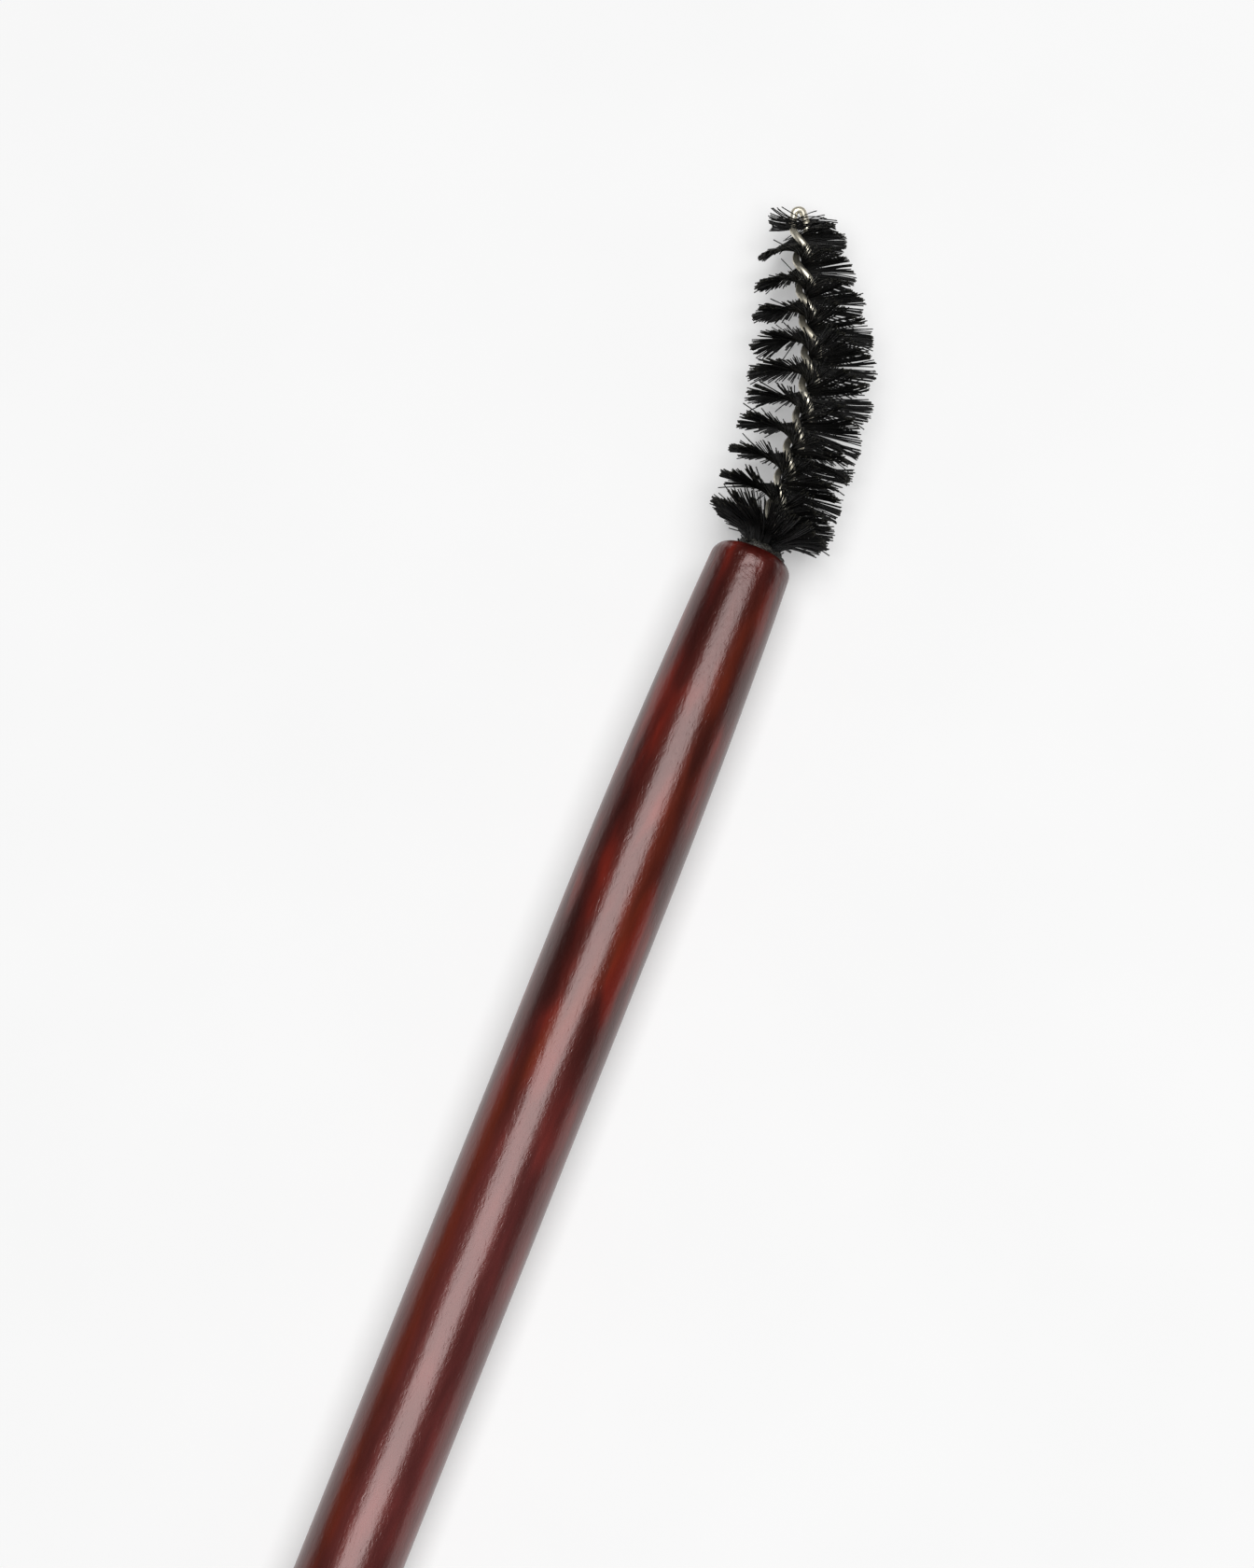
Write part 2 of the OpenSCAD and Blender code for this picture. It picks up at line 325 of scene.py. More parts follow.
    def relief(self, tree: Tree, place: Socket, along: Socket) -> Socket:
        """Adds the heights of the lacquer's ripples, pores and wrinkles.

        Args:
            tree: The material's tree.
            place: Object coordinates in metres.
            along: The place along the handle.

        Returns:
            The height.
        """
        ripple = self.grain(tree, place, self.ripple_per_m, 2.0)
        pore = self.grain(tree, place, self.pore_per_m, 1.0)
        wrinkle = self.grain(tree, place, self.wrinkle_per_m, 2.0)
        pores = add_range(tree, pore, self.pore_range, (0.0, self.pore_depth))
        fold = add_maths(tree, "SUBTRACT", wrinkle, self.wrinkle_middle)
        crease = add_maths(tree, "MINIMUM", add_maths(tree, "ABSOLUTE", fold), self.wrinkle_h)
        near = add_range(tree, along, self.wrinkled, (0.0, self.wrinkle_depth))
        return add_maths(tree, "ADD", add_maths(tree, "SUBTRACT", ripple, pores),
                         add_maths(tree, "MULTIPLY", crease, near))

    def build(self) -> bpy.types.Material:
        """Builds the material, whose grain runs along Y.

        Returns:
            The material.
        """
        material, tree, shader, place = new_material("lacquered_mahogany")
        across, along = add_node(tree, "ShaderNodeSeparateXYZ", {0: place}).outputs[:2]
        bump = add_bump(tree, self.relief(tree, place, along), self.ripple)
        feed(tree, shader, {"Base Color": self.colour(tree, place, across, along),
                            "Roughness": self.glow_roughness, "Specular Tint": linear(self.glow),
                            "Coat Weight": self.lacquer_share, "Coat IOR": self.lacquer_ior,
                            "Coat Roughness": self.lacquer_roughness,
                            "Coat Normal": bump, "Normal": bump})
        return material


@dataclass(frozen=True)
class HardenedResin:
    """Black adhesive, squeezed out of the bore and set hard: dull, gritty and lumpy."""

    body: str = "#171614"
    # Paler on the high spots of the grit
    high_spot_tone: str = "#5f5d55"
    stops: Pair = (0.5, 0.72)
    roughness: float = 0.5
    # Grit of about 0.12 mm
    grit_per_m: float = 8000.0
    grit_depth: float = 0.00008

    def build(self) -> bpy.types.Material:
        """Builds the material, paler on the high spots of its grit.

        Returns:
            The material.
        """
        material, tree, shader, place = new_material("hardened_resin")
        grit = add_noise(tree, place, self.grit_per_m, 3.0)
        colour = add_ramp(tree, grit, *zip(self.stops, (self.body, self.high_spot_tone)))
        feed(tree, shader, {"Base Color": colour, "Roughness": self.roughness,
                            "Normal": add_bump(tree, grit, self.grit_depth)})
        return material


@dataclass(frozen=True)
class DrawnSteel:
    """Stainless steel wire, drawn bright through a die: satin, and a little clouded."""

    tarnish: str = "#c9c2b0"
    metal: str = "#ebe6d6"
    stops: Pair = (0.35, 0.6)
    # How rough the tarnished and the bright patches are
    roughness: Pair = (0.63, 0.36)
    rough_range: Pair = (0.3, 0.7)
    # Cloudy patches of about 0.4 mm
    cloud_per_m: float = 2500.0
    cloud_depth: float = 0.000008

    def build(self) -> bpy.types.Material:
        """Builds the material, a little clouded so that its highlights aren't even.

        Returns:
            The material.
        """
        material, tree, shader, place = new_material("drawn_steel")
        cloud = add_noise(tree, place, self.cloud_per_m, 3.0)
        colour = add_ramp(tree, cloud, *zip(self.stops, (self.tarnish, self.metal)))
        feed(tree, shader, {"Base Color": colour, "Metallic": 1.0,
                            "Roughness": add_range(tree, cloud, self.rough_range, self.roughness),
                            "Normal": add_bump(tree, cloud, self.cloud_depth)})
        return material


@dataclass(frozen=True)
class BlackNylon:
    """Extruded black nylon filament: smooth, with a narrow sheen, and painted paler at each cut end
    as a painted highlight where the cut face catches the light.
    """

    body: str = "#030303"
    faded: str = "#0b0b0a"
    stops: Pair = (0.4, 0.7)
    # The cut ends are painted paler: a painted highlight where the cut faces catch the light
    cut_end_highlight: str = "#24231c"
    roughness: float = 0.5
    sheen: float = 0.3
    # From one filament to the next the black varies, over about 0.15 mm
    tone_per_m: float = 6500.0
    # The share of an arm's length at which the painted highlight of the cut end starts
    cut_highlight_from: float = 0.95

    def build(self) -> bpy.types.Material:
        """Builds the material, which reads the place along each arm from the mesh.

        Returns:
            The material.
        """
        material, tree, shader, place = new_material("black_nylon_filament")
        tone = add_noise(tree, place, self.tone_per_m, 1.0)
        colour = add_ramp(tree, tone, *zip(self.stops, (self.body, self.faded)))
        along = add_node(tree, "ShaderNodeAttribute", attribute_name="along").outputs["Fac"]
        # The last share of each arm is painted paler, a painted highlight on its cut end
        end = add_range(tree, along, (self.cut_highlight_from, 1.0))
        feed(tree, shader, {"Base Color": add_mix(tree, end, colour, self.cut_end_highlight),
                            "Roughness": self.roughness, "Specular IOR Level": self.sheen})
        return material


@dataclass(frozen=True)
class MattCard:
    """White matt card as the table, lit so fully that its shadows look pale."""

    shade: str = "#f0f0f0"
    white: str = "#f2f2f2"
    stops: Pair = (0.35, 0.65)
    # Fibres of the card lie in clouds of about 20 mm
    cloud_per_m: float = 50.0
    # The share of plain white that the camera and reflections see on it
    overlit: float = 0.3
    overlit_white: float = 0.94

    def build(self) -> bpy.types.Material:
        """Builds the material.

        Returns:
            The material.
        """
        material, tree, shader, place = new_material("matt_card")
        cloud = add_noise(tree, place, self.cloud_per_m, 4.0)
        colour = add_ramp(tree, cloud, *zip(self.stops, (self.shade, self.white)))
        feed(tree, shader, {"Base Color": colour, "Roughness": 1.0, "Specular IOR Level": 0.0})
        ray = add_node(tree, "ShaderNodeLightPath").outputs
        seen = add_maths(tree, "MAXIMUM", ray["Is Camera Ray"], ray["Is Glossy Ray"])
        white = add_node(tree, "ShaderNodeEmission", {"Color": (1.0, 1.0, 1.0, 1.0),
                                                      "Strength": self.overlit_white}).outputs[0]
        mixed = add_node(tree, "ShaderNodeMixShader",
                         {0: add_maths(tree, "MULTIPLY", seen, self.overlit),
                          1: shader.outputs[0], 2: white}).outputs[0]
        output = next(node for node in tree.nodes if node.type == "OUTPUT_MATERIAL")
        feed(tree, output, {"Surface": mixed})
        return material


@dataclass(frozen=True)
class WireRoute:
    """The line that the twisted wire follows out of the handle, and how far it is twisted."""

    offset: float = 0.35
    plug_proud: float = 0.7
    mouth_bend_l: float = 1.0
    mouth_lean: float = 5.0
    bend_start: float = 10.0
    bend_l: float = 7.0
    bend_angle: float = 21.5
    head_l: float = 26.2
    twist_pitch: float = 4.65
    level_row: float = 2.45
    rest_roll: float = 8.0
    untwist_l: float = 0.6
    eye_l: float = 0.7
    eye_w: float = 0.14
    wire_r: float = 0.26
    filament_t: float = 0.42
    clamp_fit: float = 0.02

    @property
    def hairpin_s(self) -> float:
        """Distance from the mouth to where the two legs meet the hairpin's half circle."""
        return self.head_l - 2 * self.wire_r - self.eye_w / 2

    @property
    def eye_s(self) -> float:
        """Distance from the mouth to the foot of the hairpin's open eye."""
        return self.hairpin_s - self.eye_l

    def strand_r(self, s: float) -> float:
        """Works out how far from the middle of the twist each strand runs.

        Args:
            s: Distance from the mouth.

        Returns:
            The distance to the strand's middle.
        """
        apart = self.filament_t / 2 + self.clamp_fit
        closing = min(1.0, max(0.0, (s - self.eye_s) / self.eye_l))
        return self.wire_r + apart + (self.eye_w / 2 - apart) * closing

    def ahead(self, lean: float) -> np.ndarray:
        """Direction along the wire, at a lean towards -X in radians."""
        return np.array([-math.sin(lean), math.cos(lean), 0.0])

    def beside(self, lean: float) -> np.ndarray:
        """Direction level to the right of the wire, at a lean in radians."""
        return np.array([math.cos(lean), math.sin(lean), 0.0])

    def at(self, s: float) -> tuple[np.ndarray, float]:
        """Finds a place on the wire.

        Args:
            s: Distance from the mouth, negative inside the handle.

        Returns:
            The point, and the lean in radians.
        """
        stretches = ((self.plug_proud, 0.0), (self.mouth_bend_l, self.mouth_lean),
                     (self.bend_start - self.mouth_bend_l - self.plug_proud, 0.0),
                     (self.bend_l, self.bend_angle), (math.inf, 0.0))
        point, lean = np.array([self.offset, 0.0, 0.0]), 0.0
        for length, turn in stretches:
            step = min(s, length)
            if turn:
                radius = length / math.radians(turn)
                end = lean + math.radians(turn) * step / length
                point = point + radius * (self.beside(end) - self.beside(lean))
                lean = end
            else:
                point = point + step * self.ahead(lean)
            s -= step
            if s <= 0:
                break
        return point, lean

    def twist_at(self, s: float) -> float:
        """Works out how far the row of filaments has turned.

        Args:
            s: Distance from the mouth.

        Returns:
            The angle in radians, from level right towards straight up.
        """
        fading = min(self.untwist_l, max(0.0, s - self.eye_s + self.untwist_l))
        twisted = min(s, self.eye_s) - fading * fading / (2 * self.untwist_l)
        turns = (twisted - self.level_row) / self.twist_pitch
        return 2 * math.pi * turns - math.radians(self.rest_roll)

    def across(self, lean: float, angle: float) -> np.ndarray:
        """Unit vector across the wire, at an angle from level right towards straight up."""
        return math.cos(angle) * self.beside(lean) + math.sin(angle) * UP


@dataclass(frozen=True)
class RestingPlace:
    """How the brush lies: on its rear edge, and on the filaments that its weight presses flat."""

    route: WireRoute
    handle_l: float = 130.0
    shank_r: float = 3.5
    rear_round: float = 1.5
    brush_r: float = 4.5
    brush_tip_r: float = 2.6
    taper_start: float = 15.0
    bristle_start: float = 0.75
    table_press: float = 0.25
    samples: int = 48

    @property
    def bristle_end(self) -> float:
        """Distance from the mouth to the last filament, at the foot of the hairpin's eye."""
        return self.route.eye_s

    def outline_r(self, s: float) -> float:
        """Radius of the trimmed outline at s."""
        past = max(0.0, s - self.taper_start) / (self.bristle_end - self.taper_start)
        return self.brush_r - (self.brush_r - self.brush_tip_r) * past

    def matrix(self) -> Matrix:
        """Works out the turn and shift from the brush's own frame to the row frame.

        Returns:
            A matrix that takes millimetres in the brush's own frame to metres in the row frame.
        """
        roll = math.radians(self.route.rest_roll)
        press_x, press_y, _ = self.route.at(self.taper_start)[0]
        rear_s = self.handle_l - self.rear_round
        drop = self.brush_r - self.table_press - self.shank_r - press_x * math.sin(roll)
        tilt = math.asin(drop / (rear_s + press_y))
        height = (rear_s * math.sin(tilt) + (self.shank_r - self.rear_round) * math.cos(tilt)
                  + self.rear_round)
        left, right, front = [], [], []
        for s in np.linspace(self.bristle_start, self.bristle_end, self.samples + 1):
            point, lean = self.route.at(float(s))
            left.append(point[0] * math.cos(roll) - self.outline_r(s) * math.cos(lean))
            right.append(point[0] * math.cos(roll) + self.outline_r(s) * math.cos(lean))
            front.append(point[1] + self.outline_r(s) * math.sin(lean))
        shift = Vector((-(min(left) + max(right)) / 2, -(max(front) - self.handle_l) / 2, height))
        return (Matrix.Scale(MM, 4) @ Matrix.Translation(shift)
                @ Matrix.Rotation(tilt, 4, "X") @ Matrix.Rotation(-roll, 4, "Y"))

    def lay(self, points: np.ndarray) -> np.ndarray:
        """Lays rows of points in millimetres down on the table, and gives rows in metres."""
        m = np.array(self.matrix())
        return points @ m[:3, :3].T + m[:3, 3]


def noise_at(point: np.ndarray, per_mm: Union[float, Triple], start: Triple) -> float:
    """Noise from -1 to 1 at a point in millimetres, for a number of lumps in a millimetre."""
    return noise.noise(Vector(point * np.array(per_mm) + np.array(start)))


def mesh_object(name: str, points: np.ndarray, edges: Sequence = (), faces: Sequence = ()
                ) -> bpy.types.Object:
    """Makes an object at the origin from plain points, edges and faces.

    Args:
        name: The object's name.
        points: Rows of x, y, z in metres.
        edges: Pairs of places in points.
        faces: Loops of places in points.

    Returns:
        The object, linked to the scene, with smooth faces that point outwards.
    """
    mesh = bpy.data.meshes.new(name)
    mesh.from_pydata([tuple(map(float, p)) for p in points], list(edges), list(faces))
    if len(faces):
        shell = bmesh.new()
        shell.from_mesh(mesh)
        bmesh.ops.recalc_face_normals(shell, faces=shell.faces)
        shell.to_mesh(mesh)
        shell.free()
        mesh.polygons.foreach_set("use_smooth", [True] * len(mesh.polygons))
    obj = bpy.data.objects.new(name, mesh)
    bpy.context.scene.collection.objects.link(obj)
    return obj


def turned_shell(profile: Sequence[Pair], sides: int
                 ) -> tuple[np.ndarray, list[tuple[int, ...]]]:
    """Turns a profile round the Y axis.

    Args:
        profile: Radius and place along Y of each ring, where a radius of 0 closes the shell.
        sides: Number of points in a ring.

    Returns:
        The points and the faces. A profile whose ends aren't at radius 0 closes on itself.
    """
    points: list[Triple] = []
    rings: list[list[int]] = []
    for radius, y in profile:
        count = 1 if radius == 0 else sides
        rings.append(list(range(len(points), len(points) + count)))
        for i in range(count):
            a = 2 * math.pi * i / sides
            points.append((radius * math.cos(a), y, radius * math.sin(a)))
    pairs = list(zip(rings, rings[1:]))
    if profile[0][0] and profile[-1][0]:
        pairs.append((rings[-1], rings[0]))
    faces: list[tuple[int, ...]] = []
    for a, b in pairs:
        for i in range(sides):
            j = (i + 1) % sides
            if len(a) == 1:
                faces.append((a[0], b[j], b[i]))
            elif len(b) == 1:
                faces.append((a[i], a[j], b[0]))
            else:
                faces.append((a[i], a[j], b[j], b[i]))
    return np.array(points), faces


def finish_piece(piece: bpy.types.Object, node: str) -> None:
    """Hides the CAD node that a finished piece replaces, and hangs the piece on the root body.

    Args:
        piece: The piece, at the origin.
        node: The CAD node that it replaces.
    """
    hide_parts(node)
    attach(piece, ROOT_BODY)
    corners = np.array([v.co for v in piece.data.vertices]) / MM
    LOG.info("%s: %d faces, %s to %s mm", piece.name, len(piece.data.polygons),
             np.round(corners.min(0), 2), np.round(corners.max(0), 2))


@dataclass
class SweptTubes:
    """A Geometry Nodes tree that turns lines of edges into round tubes with flat ends."""

    name: str
    material: bpy.types.Material
    diameter: float
    sides: int
    stray: float = 0.0
    seed: int = 5
    floor: float = -1.0
    tree: Tree = field(init=False)

    def __post_init__(self) -> None:
        """Builds the tree, with named inputs for its sizes."""
        tree = bpy.data.node_groups.new(self.name, "GeometryNodeTree")
        for name, kind in (("Geometry", "Geometry"), ("Diameter", "Float"), ("Sides", "Int"),
                           ("Stray", "Float"), ("Seed", "Int"), ("Lowest", "Float"),
                           ("Material", "Material")):
            tree.interface.new_socket(name, in_out="INPUT", socket_type="NodeSocket" + kind)
        tree.interface.new_socket("Geometry", in_out="OUTPUT", socket_type="NodeSocketGeometry")
        sizes = add_node(tree, "NodeGroupInput").outputs
        along = add_node(tree, "GeometryNodeInputNamedAttribute", {"Name": "along"},
                         data_type="FLOAT").outputs[0]
        line = add_node(tree, "GeometryNodeInputNamedAttribute", {"Name": "line"},
                        data_type="INT").outputs[0]
        # Each line wanders off in its own direction, more and more towards its ends
        wander = add_node(tree, "FunctionNodeRandomValue",
                          {"Min": (-1.0, -1.0, -1.0), "Max": (1.0, 1.0, 1.0), "ID": line,
                           "Seed": sizes["Seed"]}, data_type="FLOAT_VECTOR").outputs[0]
        amount = add_maths(tree, "MULTIPLY", add_maths(tree, "POWER", along, 2.0),
                           sizes["Stray"])
        offset = add_node(tree, "ShaderNodeVectorMath", {0: wander, "Scale": amount},
                          operation="SCALE").outputs[0]
        strayed = add_node(tree, "GeometryNodeSetPosition",
                           {"Geometry": sizes["Geometry"], "Offset": offset}).outputs[0]
        # What would reach below the table is pressed on to it
        place = add_node(tree, "GeometryNodeInputPosition").outputs[0]
        x, y, z = add_node(tree, "ShaderNodeSeparateXYZ", {0: place}).outputs
        height = add_maths(tree, "MAXIMUM", z, sizes["Lowest"])
        pressed = add_node(tree, "ShaderNodeCombineXYZ", {0: x, 1: y, 2: height}).outputs[0]
        laid = add_node(tree, "GeometryNodeSetPosition",
                        {"Geometry": strayed, "Position": pressed}).outputs[0]
        curve = add_node(tree, "GeometryNodeMeshToCurve", {"Mesh": laid}).outputs[0]
        radius = add_maths(tree, "MULTIPLY", sizes["Diameter"], 0.5)
        ring = add_node(tree, "GeometryNodeCurvePrimitiveCircle",
                        {"Resolution": sizes["Sides"], "Radius": radius}).outputs[0]
        tube = add_node(tree, "GeometryNodeCurveToMesh",
                        {"Curve": curve, "Profile Curve": ring, "Fill Caps": True}).outputs[0]
        smooth = add_node(tree, "GeometryNodeSetShadeSmooth", {"Geometry": tube}).outputs[0]
        real = add_node(tree, "GeometryNodeRealizeInstances", {"Geometry": smooth}).outputs[0]
        dressed = add_node(tree, "GeometryNodeSetMaterial",
                           {"Geometry": real, "Material": sizes["Material"]}).outputs[0]
        add_node(tree, "NodeGroupOutput", {"Geometry": dressed})
        self.tree = tree

    def sweep(self, name: str, lines: Sequence[np.ndarray], along: Sequence[np.ndarray],
              place: RestingPlace) -> bpy.types.Object:
        """Sweeps the lines and turns the result into a plain mesh.

        Args:
            name: Name of the finished piece.
            lines: For each tube its points, in millimetres, in the brush's own frame.
            along: For each point its share of the way to the line's end.
            place: Lays the points down on the table.

        Returns:
            The piece, with no modifier left.
        """
        counts = [len(line) for line in lines]
        starts = np.cumsum([0] + counts)
        edges = [(int(start + i), int(start + i + 1)) for start, count in zip(starts, counts)
                 for i in range(count - 1)]
        guide = mesh_object(name + "_guide", place.lay(np.vstack(lines)), edges=edges)
        share = guide.data.attributes.new("along", "FLOAT", "POINT")
        share.data.foreach_set("value", np.concatenate(along).astype(np.float32))
        number = guide.data.attributes.new("line", "INT", "POINT")
        number.data.foreach_set("value", np.repeat(np.arange(len(lines)), counts))
        modifier = guide.modifiers.new(self.name, "NODES")
        modifier.node_group = self.tree
        values = {"Diameter": self.diameter * MM, "Sides": self.sides, "Stray": self.stray * MM,
                  "Seed": self.seed, "Lowest": self.floor * MM, "Material": self.material}
        for item in self.tree.interface.items_tree:
            if item.in_out == "INPUT" and item.name in values:
                modifier[item.identifier] = values[item.name]
        shown = guide.evaluated_get(bpy.context.evaluated_depsgraph_get())
        mesh = bpy.data.meshes.new_from_object(shown)
        mesh.name = name
        piece = bpy.data.objects.new(name, mesh)
        bpy.context.scene.collection.objects.link(piece)
        guide.modifiers.remove(modifier)
        bpy.data.objects.remove(guide)
        return piece


@dataclass
class Handle:
    """The turned handle: rounded rear end, straight shank, slender nose and blind bore."""

    place: RestingPlace
    nose_l: float = 27.5
    nose_r: float = 2.85
    mouth_round: float = 1.05
    bore_r: float = 1.65
    bore_depth: float = 13.0
    # How finely each stretch is drawn, with the rings closer together behind the mouth
    sides: int = 160
    end_rings: Pair = (0.35, 0.7)
    corner_rings: int = 10
    shank_from: float = 4.0
    shank_step: float = 2.5
    nose_rings: int = 22
    close_l: float = 6.0
    close_rings: int = 34
    rim_rings: int = 14
    bore_rings: tuple[float, ...] = (0.0, 0.5, 1.5, 4.0, 8.0)
    # The lacquer's shallow waves, in a millimetre, and how deep they are
    wave_per_mm: Triple = (0.45, 0.12, 0.45)
    wave_h: float = 0.012
    # Where the lacquer creased behind the mouth, how far round that, and the size, start,
    # depth and sharpness of the coarse creases and of the fine ones
    creased_at: float = 0.9
    creased_l: float = 3.2
    creases: tuple[tuple[Triple, Triple, float, float], ...] = (
        ((1.7, 1.0, 1.7), (0.0, 9.0, 0.0), 0.03, 11.0),
        ((4.5, 3.0, 4.5), (3.0, 0.0, 0.0), 0.02, 9.0))
    bore_edge: float = 0.1
    finish: LacqueredMahogany = field(default_factory=LacqueredMahogany)

    def nose_at(self, back: float) -> float:
        """Radius at a distance back from the mouth: a flat curve that meets the shank."""
        shank_r = self.place.shank_r
        return shank_r - (shank_r - self.nose_r) * (1 - back / self.nose_l) ** 2

    def profile(self) -> list[Pair]:
        """Works out the outline, from the rear end round to the bottom of the bore.

        Returns:
            Radius and place along Y of each ring.
        """
        length, shank_r, rear = self.place.handle_l, self.place.shank_r, self.place.rear_round
        rings = [(0.0, -length)]
        rings += [((shank_r - rear) * f, -length) for f in self.end_rings]
        rings += [(shank_r - rear + rear * math.sin(a), rear - length - rear * math.cos(a))
                  for a in np.linspace(0, math.pi / 2, self.corner_rings)]
        rings += [(shank_r, float(y))
                  for y in np.arange(self.shank_from - length, -self.nose_l, self.shank_step)]
        nose = np.linspace(self.nose_l, self.close_l, self.nose_rings)
        close = np.linspace(self.close_l, self.mouth_round, self.close_rings)[1:-1]
        rings += [(self.nose_at(float(b)), -float(b)) for b in (*nose, *close)]
        rim = self.nose_at(self.mouth_round) - self.mouth_round
        rings += [(rim + self.mouth_round * math.cos(a), self.mouth_round * (math.sin(a) - 1))
                  for a in np.linspace(0, math.pi / 2, self.rim_rings)]
        rings += [(self.bore_r, -depth) for depth in (*self.bore_rings, self.bore_depth)]
        rings.append((0.0, -self.bore_depth))
        return rings

    def creased(self, points: np.ndarray) -> np.ndarray:
        """Gives the lacquer its shallow unevenness, with creases where it pulled at the mouth.

        Args:
            points: Rows in millimetres, in the brush's own frame.

        Returns:
            The moved points, none of them further out than the turned shape.
        """
        moved = points.copy()
        for i, (x, y, z) in enumerate(points):
            radius = math.hypot(x, z)
            if radius < self.bore_r + self.bore_edge:
                continue
            depth = self.wave_h * (1 + noise_at(points[i], self.wave_per_mm, (0.0, 0.0, 0.0)))
            near = max(0.0, 1 - abs(y + self.creased_at) / self.creased_l)
            for per_mm, start, deep, sharp in self.creases:
                depth += near * deep * math.exp(-abs(noise_at(points[i], per_mm, start)) * sharp)
            moved[i, 0] -= x / radius * depth
            moved[i, 2] -= z / radius * depth
        return moved

    def build(self) -> bpy.types.Object:
        """Builds and dresses the handle.

        Returns:
            The handle.
        """
        points, faces = turned_shell(self.profile(), self.sides)
        piece = mesh_object("turned_handle", self.place.lay(self.creased(points)), faces=faces)
        piece.data.materials.append(self.finish.build())
        finish_piece(piece, "handle")
        return piece


@dataclass
class ResinCollar:
    """The resin that fills the bore and stands lumpy round the foot of the wire."""

    place: RestingPlace
    plug_r: float = 1.63
    hole_r: float = 0.7
    depth: float = 12.98
    shoulder: float = 0.2
    # The resin was dabbed on off the middle, and ran a little way over the lip there
    heap_x: float = 0.3
    spill: float = 0.22
    sag: float = 0.3
    # Its lumps from coarse to fine: how many in a millimetre, where the pattern starts, and how
    # far they stand outwards and ahead
    lumps: tuple[tuple[float, Triple, float, float], ...] = (
        (1.6, (0.0, 0.0, 0.0), 0.12, 0.16), (5.0, (7.0, 0.0, 0.0), 0.09, 0.12),
        (11.0, (0.0, 3.0, 0.0), 0.04, 0.05))
    # The lumps start just past the mouth, and stand at their full height from there on
    free_from: float = 0.05
    free_at: float = 0.25
    sides: int = 96
    dome_rings: int = 22
    bore_rings: Pair = (-6.0, -1.0)
    finish: HardenedResin = field(default_factory=HardenedResin)

    def lumpy(self, points: np.ndarray) -> np.ndarray:
        """Raises lumps on what shows of the resin, and leaves what the bore hides as it is.

        Args:
            points: Rows in millimetres, in the brush's own frame.

        Returns:
            The moved points.
        """
        moved = points.copy()
        for i, (x, y, z) in enumerate(points):
            radius = math.hypot(x, z)
            if radius < self.hole_r + 0.01:
                moved[i, 0] += self.place.route.offset
            if y < self.free_from:
                continue
            free = min(1.0, y / self.free_at)
            outer = max(0.0, (radius - self.hole_r) / (self.plug_r - self.hole_r))
            to_right = max(0.0, x / radius)
            heights = [noise_at(points[i], lump[0], lump[1]) for lump in self.lumps]
            out = sum(height * lump[2] for height, lump in zip(heights, self.lumps))
            out += self.spill * to_right
            moved[i, 0] += (self.heap_x * outer + x / radius * out * outer) * free
            moved[i, 2] += z / radius * out * outer * free
            moved[i, 1] += sum(height * lump[3] for height, lump
                               in zip(heights, self.lumps)) * free
            moved[i, 1] -= self.sag * to_right * outer * free
        return moved

    def build(self) -> bpy.types.Object:
        """Builds and dresses the collar.

        Returns:
            The resin.
        """
        dome_h = self.place.route.plug_proud - self.shoulder
        profile = [(self.hole_r, -self.depth)]
        profile += [(self.plug_r, y) for y in (-self.depth, *self.bore_rings, 0.0)]
        profile += [(self.hole_r + (self.plug_r - self.hole_r) * math.cos(a),
                     self.shoulder + dome_h * math.sin(a))
                    for a in np.linspace(0, math.pi / 2, self.dome_rings)]
        profile += [(self.hole_r, y) for y in self.bore_rings[::-1]]
        points, faces = turned_shell(profile, self.sides)
        piece = mesh_object("resin_collar", self.place.lay(self.lumpy(points)), faces=faces)
        piece.data.materials.append(self.finish.build())
        finish_piece(piece, "resin_plug")
        return piece


@dataclass
class TwistedWire:
    """One wire, bent double into a hairpin whose two legs are twisted together."""

    place: RestingPlace
    stem_l: float = 11.5
    rings_per_turn: int = 26
    hairpin_rings: int = 16
    sides: int = 14
    finish: DrawnSteel = field(default_factory=DrawnSteel)

    def line(self) -> np.ndarray:
        """Works out the middle of the wire, from one end of the hairpin to the other.

        Returns:
            Rows in millimetres, in the brush's own frame.
        """
        route = self.place.route
        length = self.stem_l + route.hairpin_s
        count = round(length / route.twist_pitch * self.rings_per_turn)
        leg_s = np.linspace(-self.stem_l, route.hairpin_s, count + 1)

        def strand(s: float, turn: float) -> np.ndarray:
            """Middle of one leg at s."""
            point, lean = route.at(s)
            return point + route.strand_r(s) * route.across(lean, route.twist_at(s) + turn)

        quarter = math.pi / 2
        top, lean = route.at(route.hairpin_s)
        out = route.across(lean, route.twist_at(route.hairpin_s) + quarter)
        arc = [top + route.strand_r(route.hairpin_s)
               * (math.cos(a) * out + math.sin(a) * route.ahead(lean))
               for a in np.linspace(0, math.pi, self.hairpin_rings + 1)[1:-1]]
        return np.array([strand(float(s), quarter) for s in leg_s] + arc
                        + [strand(float(s), -quarter) for s in leg_s[::-1]])

    def build(self) -> bpy.types.Object:
        """Builds and dresses the wire.

        Returns:
            The wire.
        """
        line = self.line()
        tubes = SweptTubes("wire_sweep", self.finish.build(), 2 * self.place.route.wire_r,
                           self.sides)
        piece = tubes.sweep("hairpin_wire", [line], [np.zeros(len(line))], self.place)
        finish_piece(piece, "twisted_wire")
        return piece


